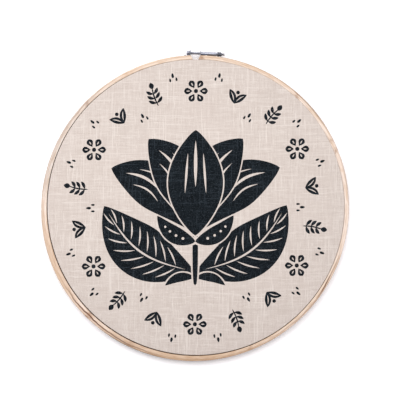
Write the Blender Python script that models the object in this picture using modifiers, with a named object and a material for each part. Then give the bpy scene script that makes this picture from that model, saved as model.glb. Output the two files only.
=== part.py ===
"""Linen stretched in a split wooden embroidery hoop with a thumb screw closure, lying on its back.

Metres, +Z up. Both wooden rings stand on Z = 0 with the cloth's face upwards, the closure is at +Y,
and the origin is under the middle of the whole thing.
"""

import math

import bmesh
import bpy
from mathutils import Vector

MM = 0.001
GAP = 0.3 * MM  # between pieces that touch

# The hoop
HOOP_RADIUS = 153.5 * MM  # mean outside radius of the outer ring
HOOP_DEPTH = 10.0 * MM
OVAL_SHARE = 0.0055  # the hoop is this much longer one way and shorter the other
OVAL_ANGLE = math.radians(28.0)  # where it is longest, from +X
OUTER_WALL = 4.2 * MM
INNER_WALL = 4.0 * MM
EDGE_ROUND = 0.9 * MM  # on the long edges of both strips
RING_STEPS = 120

# The cloth, pressed between the rings
CLOTH_THICK = 1.0 * MM
CLOTH_FALL = 0.4 * MM  # how far the cloth's face lies below the outer ring's front edge
CLOTH_PLAY = 0.8 * MM  # mean room between the cloth and the outer ring
FIT_SHIFT = Vector((0.35 * MM, 0.35 * MM, 0.0))  # the inner ring sits closest at the upper right
CLOTH_BEND = 1.4 * MM  # outside radius where the cloth turns down over the inner ring

# The split in the outer ring, and the closure over it
CLOSURE_X = 0.4 * MM  # the split lies this far off the hoop's middle
SPLIT_OUTSIDE = 4.7 * MM  # half the opening at the ring's outside
SPLIT_INSIDE = 2.8 * MM

# The two brackets, bent from sheet, with their feet let into the wood
EAR_INSIDE = 4.9 * MM  # from the middle of the split to each ear
SHEET = 0.7 * MM
SEAT_DEPTH = SHEET + GAP
FOOT_END = 13.2 * MM
BRACKET_WIDTH = 7.0 * MM
BEND_RADIUS = 1.0 * MM
EAR_ABOVE_AXIS = {"left": 3.1 * MM, "right": 2.3 * MM}
EAR_CORNER = 2.3 * MM
EAR_HOLE = 1.6 * MM

# The thumb screw, along the local Z of its axis
AXIS_HEIGHT = 2.3 * MM  # above the wood in the middle of the split
AXIS_TILT = math.radians(-2.4)
SHANK_RADIUS = 1.25 * MM
SHANK_END = -9.0 * MM
BARREL_RADIUS = 1.8 * MM
BARREL_START = EAR_INSIDE + SHEET + GAP
BARREL_END = 21.0 * MM
NECK_RADIUS = 1.3 * MM
GRIP_START = 21.6 * MM
GRIP_END = 25.8 * MM
GRIP_RADIUS = 2.1 * MM
TIP_START = 27.3 * MM
TIP_END = 29.4 * MM
TIP_RADIUS = 1.1 * MM
TIP_NECK = 0.9 * MM
SLOT_WIDTH = 0.7 * MM
SLOT_DEPTH = 1.3 * MM
CHAMFER = 0.2 * MM
SCREW_STEPS = 24

# The nut and the brads
NUT_FLATS = 4.2 * MM
NUT_LENGTH = 2.6 * MM
BRAD_X = 10.6 * MM
BRAD_SPREAD = 2.5 * MM  # from the middle of the hoop's depth
BRAD_HEAD_RADIUS = 1.0 * MM
BRAD_HEAD_HEIGHT = 0.5 * MM
BRAD_SHANK_RADIUS = 0.45 * MM
BRAD_LENGTH = 3.6 * MM
BRAD_STEPS = 12

# What follows from the sizes above
CLOTH_TOP = HOOP_DEPTH - CLOTH_FALL
CLOTH_RADIUS = HOOP_RADIUS - OUTER_WALL - CLOTH_PLAY
INNER_RADIUS = CLOTH_RADIUS - CLOTH_THICK - GAP
INNER_DEPTH = CLOTH_TOP - CLOTH_THICK - GAP
LONG_RADIUS = HOOP_RADIUS * (1 + OVAL_SHARE)
SHORT_RADIUS = HOOP_RADIUS * (1 - OVAL_SHARE)
WOOD_TOP = 1 / math.hypot(math.sin(OVAL_ANGLE) / LONG_RADIUS, math.cos(OVAL_ANGLE) / SHORT_RADIUS)
HOOP_LOW = math.hypot(LONG_RADIUS * math.sin(OVAL_ANGLE), SHORT_RADIUS * math.cos(OVAL_ANGLE))
FOOT_MIDDLE = (EAR_INSIDE + FOOT_END) / 2
FOOT_SLOPE = math.asin(FOOT_MIDDLE / WOOD_TOP)
FOOT_HEIGHT = WOOD_TOP * math.cos(FOOT_SLOPE)
LEFT_EAR_TOP = WOOD_TOP + AXIS_HEIGHT + math.tan(-AXIS_TILT) * EAR_INSIDE + EAR_ABOVE_AXIS["left"]
HOOP_CENTRE = Vector((0, (HOOP_LOW - LEFT_EAR_TOP) / 2, 0))

SIDES = {"left": -1, "right": 1}
LOOKS = {
    "linen": ((0.75, 0.67, 0.62), 0.92, 0.0),
    "bamboo": ((0.80, 0.60, 0.40), 0.55, 0.0),
    "zinc": ((0.60, 0.61, 0.64), 0.32, 1.0),
}


def clear_scene():
    for old in list(bpy.data.objects):
        bpy.data.objects.remove(old, do_unlink=True)


def make_collection(name):
    made = bpy.data.collections.new(name)
    bpy.context.scene.collection.children.link(made)
    return made


def make_material(name, base_colour, roughness, metallic):
    material = bpy.data.materials.new(name)
    material.use_nodes = True
    shader = material.node_tree.nodes["Principled BSDF"]
    shader.inputs["Base Color"].default_value = (*base_colour, 1)
    shader.inputs["Roughness"].default_value = roughness
    shader.inputs["Metallic"].default_value = metallic
    material.diffuse_color = (*base_colour, 1)
    return material


def make_frame(name, collection, parent=None, location=(0, 0, 0), rotation=(0, 0, 0)):
    """An empty that pieces are placed by."""
    frame = bpy.data.objects.new(name, None)
    frame.empty_display_size = 5 * MM
    frame.parent = parent
    frame.location = location
    frame.rotation_euler = rotation
    collection.objects.link(frame)
    return frame


def make_object(name, bm, collection, material=None, parent=None):
    mesh = bpy.data.meshes.new(name)
    bm.to_mesh(mesh)
    bm.free()
    if material:
        mesh.materials.append(material)
    made = bpy.data.objects.new(name, mesh)
    made.parent = parent
    collection.objects.link(made)
    return made


def make_cutter(cutter):
    cutter.hide_render = True
    cutter.display_type = "WIRE"
    return cutter


def cut(piece, cutter):
    modifier = piece.modifiers.new(cutter.name, "BOOLEAN")
    modifier.operation = "DIFFERENCE"
    modifier.object = cutter


def arc(centre, radius, start, end, count):
    """Points on an arc, as radius and height, with its angles in degrees."""
    for step in range(count + 1):
        angle = math.radians(start + (end - start) * step / count)
        yield centre[0] + radius * math.cos(angle), centre[1] + radius * math.sin(angle)


def make_turned(name, profile, steps, collection, material=None, parent=None):
    """A profile of radii and heights, listed down its outer side, turned round the local Z axis.

    A profile that doesn't start on the axis is closed to its first point.
    """
    bm = bmesh.new()
    verts = [bm.verts.new((radius, 0, height)) for radius, height in profile]
    for here, there in zip(verts, verts[1:]):
        bm.edges.new((here, there))
    if profile[0][0] > 0:
        bm.edges.new((verts[-1], verts[0]))
    made = make_object(name, bm, collection, material, parent)
    screw = made.modifiers.new("turn", "SCREW")
    screw.steps = steps
    screw.render_steps = steps
    screw.use_merge_vertices = True
    screw.merge_threshold = 0.01 * MM
    return made


def make_rod(name, radius, start, end, steps, collection, material=None, parent=None):
    """A cylinder or prism along the local Z axis."""
    bm = bmesh.new()
    bmesh.ops.create_cone(
        bm, cap_ends=True, segments=steps, radius1=radius, radius2=radius, depth=end - start
    )
    bmesh.ops.translate(bm, vec=(0, 0, (start + end) / 2), verts=bm.verts)
    return make_object(name, bm, collection, material, parent)


def strip_profile(outside, wall, depth):
    """The round-edged section of a bent wooden strip."""
    low, high = EDGE_ROUND, depth - EDGE_ROUND
    near, far = outside - wall + EDGE_ROUND, outside - EDGE_ROUND
    corners = [((far, high), 90), ((far, low), 0), ((near, low), -90), ((near, high), -180)]
    return [point for centre, start in corners for point in arc(centre, EDGE_ROUND, start, start - 90, 2)]


def cloth_profile():
    """The cloth from the middle of its face, over the inner ring and down between the rings."""
    bend = (CLOTH_RADIUS - CLOTH_BEND, CLOTH_TOP - CLOTH_BEND)
    face = [(0, CLOTH_TOP), (0.5 * CLOTH_RADIUS, CLOTH_TOP)]
    hem = [(CLOTH_RADIUS, GAP), (CLOTH_RADIUS - CLOTH_THICK, GAP)]
    back = [(radius, CLOTH_TOP - CLOTH_THICK) for radius in (0.5 * CLOTH_RADIUS, 0)]
    outside = list(arc(bend, CLOTH_BEND, 90, 0, 4))
    inside = list(arc(bend, CLOTH_BEND - CLOTH_THICK, 0, 90, 2))
    return face + outside + hem + inside + back


def make_hoop(parts, materials):
    """Both rings and the cloth, turned and then drawn out to the hoop's slight oval."""
    outer = strip_profile(HOOP_RADIUS, OUTER_WALL, HOOP_DEPTH)
    inner = strip_profile(INNER_RADIUS, INNER_WALL, INNER_DEPTH)
    pieces = [
        ("outer_ring", outer, "bamboo", Vector()),
        ("inner_ring", inner, "bamboo", FIT_SHIFT),
        ("cloth", cloth_profile(), "linen", FIT_SHIFT),
    ]
    made = {}
    for name, profile, material, shift in pieces:
        piece = make_turned(name, profile, RING_STEPS, parts, materials[material])
        piece.location = HOOP_CENTRE + shift
        piece.rotation_euler = (0, 0, OVAL_ANGLE)
        piece.scale = (1 + OVAL_SHARE, 1 - OVAL_SHARE, 1)
        made[name] = piece
    return made


def make_split_cutter(cutters, closure):
    """A wedge that opens the outer ring, wider at the ring's outside."""
    spare = 2 * MM
    inside, outside = WOOD_TOP - OUTER_WALL, WOOD_TOP
    flare = (SPLIT_OUTSIDE - SPLIT_INSIDE) / OUTER_WALL
    bm = bmesh.new()
    bmesh.ops.create_cube(bm, size=1)
    for vert in bm.verts:
        reach = outside + spare if vert.co.y > 0 else inside - spare
        half = SPLIT_INSIDE + flare * (reach - inside)
        vert.co = (math.copysign(half, vert.co.x), reach, math.copysign(HOOP_DEPTH, vert.co.z))
    return make_cutter(make_object("split_cutter", bm, cutters, parent=closure))


def make_seat_cutter(name, side, cutters, foot):
    """The shallow seat in the wood that a bracket's foot lies in, open towards the split."""
    inner_end = EAR_INSIDE - FOOT_MIDDLE - 4 * MM
    outer_end = FOOT_END - FOOT_MIDDLE + GAP
    height = 4 * SEAT_DEPTH
    bm = bmesh.new()
    bmesh.ops.create_cube(bm, size=1)
    bmesh.ops.scale(bm, vec=(outer_end - inner_end, height, BRACKET_WIDTH + 2 * GAP), verts=bm.verts)
    middle = side * (inner_end + outer_end) / 2
    bmesh.ops.translate(bm, vec=(middle, height / 2 - SEAT_DEPTH, 0), verts=bm.verts)
    return make_cutter(make_object(name, bm, cutters, parent=foot))


def make_bracket(name, side, ear_top, parts, material, closure):
    """An upright ear and a foot along the wood, one strip of sheet bent once."""

    def underside(x):
        return FOOT_HEIGHT - SEAT_DEPTH + GAP - math.tan(FOOT_SLOPE) * (x - FOOT_MIDDLE)

    path = [(EAR_INSIDE, ear_top), (EAR_INSIDE, underside(EAR_INSIDE)), (FOOT_END, underside(FOOT_END))]
    bm = bmesh.new()
    rows = [
        [bm.verts.new((side * x, y, across)) for across in (-BRACKET_WIDTH / 2, BRACKET_WIDTH / 2)]
        for x, y in path
    ]
    for here, there in zip(rows, rows[1:]):
        bm.faces.new((here[0], there[0], there[1], here[1]))
    bracket = make_object(name, bm, parts, material, closure)
    bracket.vertex_groups.new(name="ear_corners").add([0, 1], 1, "REPLACE")

    corners = bracket.modifiers.new("ear_corners", "BEVEL")
    corners.affect = "VERTICES"
    corners.limit_method = "VGROUP"
    corners.vertex_group = "ear_corners"
    corners.width = EAR_CORNER
    corners.segments = 5
    bend = bracket.modifiers.new("bend", "BEVEL")
    bend.width = BEND_RADIUS
    bend.segments = 4
    thick = bracket.modifiers.new("thick", "SOLIDIFY")
    thick.thickness = SHEET
    thick.offset = -side
    thick.use_even_offset = True
    return bracket


def make_thumb_screw(parts, cutters, material, axis):
    """Shank, smooth barrel, neck, grip and slotted tip, turned in one piece."""
    profile = [
        (0, TIP_END),
        (TIP_RADIUS - 2 * CHAMFER, TIP_END),
        (TIP_RADIUS, TIP_END - 2 * CHAMFER),
        (TIP_RADIUS, TIP_START + CHAMFER),
        (TIP_NECK, TIP_START - CHAMFER),
        (GRIP_RADIUS - CHAMFER, GRIP_END),
        (GRIP_RADIUS, GRIP_END - CHAMFER),
        (GRIP_RADIUS, GRIP_START + CHAMFER),
        (GRIP_RADIUS - CHAMFER, GRIP_START),
        (NECK_RADIUS, GRIP_START),
        (NECK_RADIUS, BARREL_END),
        (BARREL_RADIUS - CHAMFER, BARREL_END),
        (BARREL_RADIUS, BARREL_END - CHAMFER),
        (BARREL_RADIUS, BARREL_START + CHAMFER),
        (BARREL_RADIUS - CHAMFER, BARREL_START),
        (SHANK_RADIUS, BARREL_START),
        (SHANK_RADIUS, SHANK_END + CHAMFER),
        (SHANK_RADIUS - CHAMFER, SHANK_END),
        (0, SHANK_END),
    ]
    screw = make_turned("thumb_screw", profile, SCREW_STEPS, parts, material, axis)
    bm = bmesh.new()
    bmesh.ops.create_cube(bm, size=1)
    bmesh.ops.scale(bm, vec=(4 * TIP_RADIUS, SLOT_WIDTH, 2 * SLOT_DEPTH), verts=bm.verts)
    slot = make_cutter(make_object("slot_cutter", bm, cutters, parent=axis))
    slot.location = (0, 0, TIP_END)
    cut(screw, slot)


def make_nut(parts, cutters, material, axis):
    """A small hexagon nut against the left ear, with a flat side towards the wood."""
    end = -(EAR_INSIDE + SHEET + GAP)
    corner_radius = NUT_FLATS / 2 / math.cos(math.pi / 6)
    nut = make_rod("nut", corner_radius, end - NUT_LENGTH, end, 6, parts, material, axis)
    nut.rotation_euler = (0, 0, math.pi / 6)
    bore_name, bore_radius = "nut_bore_cutter", SHANK_RADIUS + GAP
    bore = make_rod(bore_name, bore_radius, 2 * SHANK_END, 0, SCREW_STEPS, cutters, parent=axis)
    cut(nut, make_cutter(bore))


def make_brad(name, side, height, parts, cutters, material, foot):
    """A small domed nail through a foot into the wood. Returns the cutter of its hole."""
    seat = SHEET + 2 * GAP - SEAT_DEPTH
    top = seat + BRAD_HEAD_HEIGHT
    tip = top - BRAD_LENGTH
    profile = [
        (0, top),
        (BRAD_HEAD_RADIUS - CHAMFER, top),
        (BRAD_HEAD_RADIUS, top - CHAMFER),
        (BRAD_HEAD_RADIUS, seat),
        (BRAD_SHANK_RADIUS, seat),
        (BRAD_SHANK_RADIUS, tip + BRAD_SHANK_RADIUS),
        (0, tip),
    ]
    brad = make_turned(name, profile, BRAD_STEPS, parts, material, foot)
    hole_name, hole_radius = name + "_hole_cutter", BRAD_SHANK_RADIUS + GAP
    hole = make_rod(hole_name, hole_radius, tip - GAP, top, BRAD_STEPS, cutters, parent=foot)
    for piece in (brad, hole):
        piece.location = (side * (BRAD_X - FOOT_MIDDLE), 0, height)
        piece.rotation_euler = (-math.pi / 2, 0, 0)
    return make_cutter(hole)


def make_closure(outer_ring, parts, cutters, material):
    """The split in the outer ring and the brackets, brads, screw and nut that close it."""
    middle = HOOP_CENTRE + Vector((CLOSURE_X, 0, HOOP_DEPTH / 2))
    closure = make_frame("closure", parts, location=middle)
    cut(outer_ring, make_split_cutter(cutters, closure))
    axis_height, axis_turn = WOOD_TOP + AXIS_HEIGHT, (0, math.pi / 2, AXIS_TILT)
    axis = make_frame("screw_axis", parts, closure, (0, axis_height, 0), axis_turn)
    make_thumb_screw(parts, cutters, material, axis)
    make_nut(parts, cutters, material, axis)
    reach = EAR_INSIDE + 2 * SHEET
    ear_hole = make_rod("ear_hole_cutter", EAR_HOLE, -reach, reach, SCREW_STEPS, cutters, parent=axis)
    make_cutter(ear_hole)

    for side_name, side in SIDES.items():
        foot_place = (side * FOOT_MIDDLE, FOOT_HEIGHT, 0)
        foot = make_frame("foot_" + side_name, parts, closure, foot_place, (0, 0, -side * FOOT_SLOPE))
        axis_at_ear = axis_height + math.tan(AXIS_TILT) * side * EAR_INSIDE
        ear_top = axis_at_ear + EAR_ABOVE_AXIS[side_name]
        bracket = make_bracket("bracket_" + side_name, side, ear_top, parts, material, closure)
        cut(bracket, ear_hole)
        cut(outer_ring, make_seat_cutter(f"seat_{side_name}_cutter", side, cutters, foot))
        for edge_name, edge in (("front", 1), ("back", -1)):
            name = f"brad_{side_name}_{edge_name}"
            hole = make_brad(name, side, edge * BRAD_SPREAD, parts, cutters, material, foot)
            cut(bracket, hole)
            cut(outer_ring, hole)


def build():
    clear_scene()
    parts = make_collection("hooped_linen")
    cutters = make_collection("cutters")
    materials = {name: make_material(name, *look) for name, look in LOOKS.items()}
    hoop = make_hoop(parts, materials)
    make_closure(hoop["outer_ring"], parts, cutters, materials["zinc"])


build()
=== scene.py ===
"""Printed linen stretched in a split wooden embroidery hoop, lying on its back, seen from straight above.

Metres, in the frame of the solids: the cloth's face is up, the closure is at +Y.
"""

import math

import bmesh
import bpy
from mathutils import Matrix, Vector
from mathutils.geometry import delaunay_2d_cdt


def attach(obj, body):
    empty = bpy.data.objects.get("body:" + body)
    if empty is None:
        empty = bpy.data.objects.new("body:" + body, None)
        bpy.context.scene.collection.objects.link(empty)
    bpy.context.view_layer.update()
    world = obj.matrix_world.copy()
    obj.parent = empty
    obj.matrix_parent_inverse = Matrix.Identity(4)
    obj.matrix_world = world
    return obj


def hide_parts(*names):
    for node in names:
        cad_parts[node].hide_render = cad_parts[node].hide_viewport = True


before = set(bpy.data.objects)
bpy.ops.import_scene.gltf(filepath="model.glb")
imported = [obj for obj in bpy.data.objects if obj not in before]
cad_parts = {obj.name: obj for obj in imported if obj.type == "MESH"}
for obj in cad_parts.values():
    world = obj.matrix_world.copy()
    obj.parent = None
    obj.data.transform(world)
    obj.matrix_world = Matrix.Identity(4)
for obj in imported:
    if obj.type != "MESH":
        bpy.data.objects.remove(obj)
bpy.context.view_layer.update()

MM = 0.001

# The hoop, with the sizes of the solids
HOOP_MIDDLE = Vector((0, -2.7995 * MM, 0))
HOOP_RADIUS = 153.5 * MM
HOOP_DEPTH = 10.0 * MM
OUTER_WALL = 4.2 * MM
INNER_WALL = 5.1 * MM
INNER_RADIUS = 148.25 * MM
INNER_DEPTH = 9.1 * MM
EDGE_ROUND = 0.65 * MM
INSIDE_ROUND = 0.35 * MM
OVAL_SHARE = 0.0055
OVAL_ANGLE = math.radians(28)
WOOD_TOP = 153.0231 * MM  # outside of the outer ring at the split, from the hoop's middle
RING_STEPS = 240

# The cloth
CLOTH_RADIUS = 148.8 * MM
CLOTH_TOP = 9.6 * MM
CLOTH_THICK = 0.45 * MM
CLOTH_BEND = 0.5 * MM
CLOTH_SHIFT = Vector((0.33 * MM, 0.45 * MM, 0))
HEM = 0.35 * MM
THREAD_PITCH = 0.8 * MM
THICKER_AT = math.radians(220)  # the outer strip is thicker here, and the cloth that much smaller
THICKER_BY = 1.95 * MM
THICKER_OVER = math.radians(92)  # on either side

# The closure
CLOSURE = HOOP_MIDDLE + Vector((0.4 * MM, 0, HOOP_DEPTH / 2))
SPLIT_OUTSIDE = 4.7 * MM
SPLIT_INSIDE = 2.8 * MM
EAR_INSIDE = 4.9 * MM
SHEET = 0.7 * MM
SEAT_DEPTH = 1.0 * MM
FOOT_END = 13.2 * MM
BRACKET_WIDTH = 7.0 * MM
EAR_ABOVE_AXIS = {"left": 3.1 * MM, "right": 2.3 * MM}
AXIS_HEIGHT = 2.3 * MM
AXIS_TILT = math.radians(-2.4)
AXIS_MIDDLE = CLOSURE + Vector((0, WOOD_TOP + AXIS_HEIGHT, 0))
FOOT_MIDDLE = (EAR_INSIDE + FOOT_END) / 2
FOOT_SLOPE = math.asin(FOOT_MIDDLE / WOOD_TOP)
FOOT_HEIGHT = WOOD_TOP * math.cos(FOOT_SLOPE)
THREAD_RISE = 0.5 * MM
THREAD_DEPTH = 0.16 * MM
SHANK_RADIUS = 1.28 * MM
SHANK_END = -9.0 * MM
BARREL_START = 5.75 * MM
EAR_HOLE = 1.45 * MM
EAR_ROUND = 2.3 * MM
EAR_BEND = 1.0 * MM
FOOT_ROUND = 1.0 * MM
NUT_START, NUT_END = -8.5 * MM, -5.68 * MM
NUT_FLAT = 2.1 * MM  # from the axis to each of the six flats
NUT_BORE = 1.34 * MM
BRAD_OUT = 10.6 * MM  # from the middle of the split, along the foot
BRAD_ASIDE = 2.5 * MM
SIDES = {"left": -1, "right": 1}


# Modelling


def rest():
    """Nothing selected, in object mode."""
    if bpy.context.mode != "OBJECT":
        bpy.ops.object.mode_set(mode="OBJECT")
    bpy.ops.object.select_all(action="DESELECT")


def take(name):
    """The piece that was just added, named."""
    piece = bpy.context.active_object
    piece.name = name
    piece.data.name = name
    return piece


def only(piece):
    rest()
    piece.select_set(True)
    bpy.context.view_layer.objects.active = piece


def settle(piece):
    """Puts the place, turn and size of a piece into its mesh."""
    only(piece)
    bpy.ops.object.transform_apply(location=True, rotation=True, scale=True)


def work_on(piece, element="VERT", everything=False):
    """Into edit mode, with all or nothing of the piece selected."""
    only(piece)
    bpy.ops.object.mode_set(mode="EDIT")
    bpy.ops.mesh.select_mode(type=element)
    bpy.ops.mesh.select_all(action="SELECT" if everything else "DESELECT")


def pick(piece, element, wanted):
    """In edit mode, selects the vertices, edges or faces that the test wants."""
    bpy.ops.mesh.select_mode(type=element)
    bpy.ops.mesh.select_all(action="DESELECT")
    bm = bmesh.from_edit_mesh(piece.data)
    for part in {"VERT": bm.verts, "EDGE": bm.edges, "FACE": bm.faces}[element]:
        if wanted(part):
            part.select_set(True)
    bm.select_flush_mode()
    bmesh.update_edit_mesh(piece.data)


def middle_of(edge):
    return (edge.verts[0].co + edge.verts[1].co) / 2


def finish_with(piece, kind, **settings):
    """Adds a modifier with its settings and applies it."""
    only(piece)
    modifier = piece.modifiers.new(kind.lower(), kind)
    for name, value in settings.items():
        setattr(modifier, name, value)
    bpy.ops.object.modifier_apply(modifier=modifier.name)


def carve(piece, cutter, operation="DIFFERENCE"):
    """Cuts a piece with another one, which is used up."""
    finish_with(piece, "BOOLEAN", operation=operation, object=cutter, solver="EXACT")
    bpy.data.objects.remove(cutter, do_unlink=True)


def smooth(piece, degrees=35):
    only(piece)
    bpy.ops.object.shade_smooth_by_angle(angle=math.radians(degrees))


def point_outwards(piece):
    work_on(piece, everything=True)
    bpy.ops.mesh.remove_doubles(threshold=0.002 * MM)
    bpy.ops.mesh.select_all(action="SELECT")
    bpy.ops.mesh.normals_make_consistent(inside=False)
    rest()


def rod(name, radius, low, high, sides=48):
    """A plain bar round the Z axis, used to cut with or to shape further."""
    rest()
    bpy.ops.mesh.primitive_cylinder_add(
        vertices=sides, radius=radius, depth=high - low, location=(0, 0, (low + high) / 2)
    )
    piece = take(name)
    settle(piece)
    return piece


def block(name, size, middle=(0, 0, 0), turn=0.0):
    rest()
    bpy.ops.mesh.primitive_cube_add(size=1, location=middle, rotation=(0, 0, turn))
    piece = take(name)
    piece.scale = size
    settle(piece)
    return piece


def turned(name, profile, sides):
    """A bar turned on a lathe: a disc drawn up and made wider or narrower from step to step."""
    rest()
    radius, height = profile[0]
    bpy.ops.mesh.primitive_circle_add(
        vertices=sides, radius=radius, fill_type="NGON", location=(0, 0, height)
    )
    piece = take(name)
    settle(piece)
    work_on(piece, "FACE", everything=True)
    for (radius, height), (next_radius, next_height) in zip(profile, profile[1:]):
        bpy.ops.mesh.extrude_region_move(
            TRANSFORM_OT_translate={"value": (0, 0, next_height - height)}
        )
        wider = next_radius / radius
        bpy.ops.transform.resize(value=(wider, wider, 1), center_override=(0, 0, next_height))
    rest()
    point_outwards(piece)
    return piece


def put_on_axis(piece):
    """From the Z axis to the thumb screw's axis."""
    piece.rotation_euler = (0, math.pi / 2, AXIS_TILT)
    piece.location = AXIS_MIDDLE
    settle(piece)


# Materials


class Finish:
    """A material's nodes, made one after the other."""

    def __init__(self, name, roughness, metallic=0.0):
        self.material = bpy.data.materials.new(name)
        self.material.use_nodes = True
        self.tree = self.material.node_tree
        self.shader = self.tree.nodes["Principled BSDF"]
        self.shader.inputs["Roughness"].default_value = roughness
        self.shader.inputs["Metallic"].default_value = metallic

    def node(self, kind, inputs=None, **settings):
        made = self.tree.nodes.new(kind)
        for name, value in settings.items():
            setattr(made, name, value)
        for name, value in (inputs or {}).items():
            self.feed(made.inputs[name], value)
        return made

    def feed(self, socket, value):
        if isinstance(value, bpy.types.NodeSocket):
            self.tree.links.new(value, socket)
        else:
            socket.default_value = value

    def calc(self, operation, *values):
        made = self.node("ShaderNodeMath", operation=operation)
        for socket, value in zip(made.inputs, values):
            self.feed(socket, value)
        return made.outputs[0]

    def vector(self, x, y, z):
        return self.node("ShaderNodeCombineXYZ", {"X": x, "Y": y, "Z": z}).outputs[0]

    def noise(self, place, scale, detail=2.0, roughness=0.5):
        inputs = {"Vector": place, "Scale": scale, "Detail": detail, "Roughness": roughness}
        return self.node("ShaderNodeTexNoise", inputs).outputs["Fac"]

    def spread(self, value, low, high, to_low=0.0, to_high=1.0):
        """Brings the range from low to high to a new range, without going past it."""
        inputs = {"Value": value, "From Min": low, "From Max": high, "To Min": to_low, "To Max": to_high}
        return self.node("ShaderNodeMapRange", inputs).outputs[0]

    def ramp(self, value, stops):
        made = self.node("ShaderNodeValToRGB", {"Fac": value})
        elements = made.color_ramp.elements
        while len(elements) < len(stops):
            elements.new(1.0)
        for element, (position, colour) in zip(elements, stops):
            element.position = position
            element.color = (*colour, 1) if isinstance(colour, tuple) else (colour, colour, colour, 1)
        return made.outputs[0]

    def mix(self, share, first, second, blend="MIX"):
        made = self.node("ShaderNodeMix", data_type="RGBA", blend_type=blend)
        self.feed(made.inputs[0], share)
        self.feed(made.inputs[6], first if isinstance(first, bpy.types.NodeSocket) else (*first, 1))
        self.feed(made.inputs[7], second if isinstance(second, bpy.types.NodeSocket) else (*second, 1))
        return made.outputs[2]

    def colour(self, value):
        self.feed(self.shader.inputs["Base Color"], value)

    def roughness(self, value):
        self.feed(self.shader.inputs["Roughness"], value)

    def bump(self, height, distance, strength=1.0):
        made = self.node("ShaderNodeBump", {"Height": height, "Distance": distance, "Strength": strength})
        self.feed(self.shader.inputs["Normal"], made.outputs[0])


def srgb(red, green, blue):
    """A colour as seen on a screen, 0 to 255, as the shader wants it."""
    return tuple(
        c / 12.92 if c <= 0.04045 else ((c + 0.055) / 1.055) ** 2.4
        for c in (red / 255, green / 255, blue / 255)
    )


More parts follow.
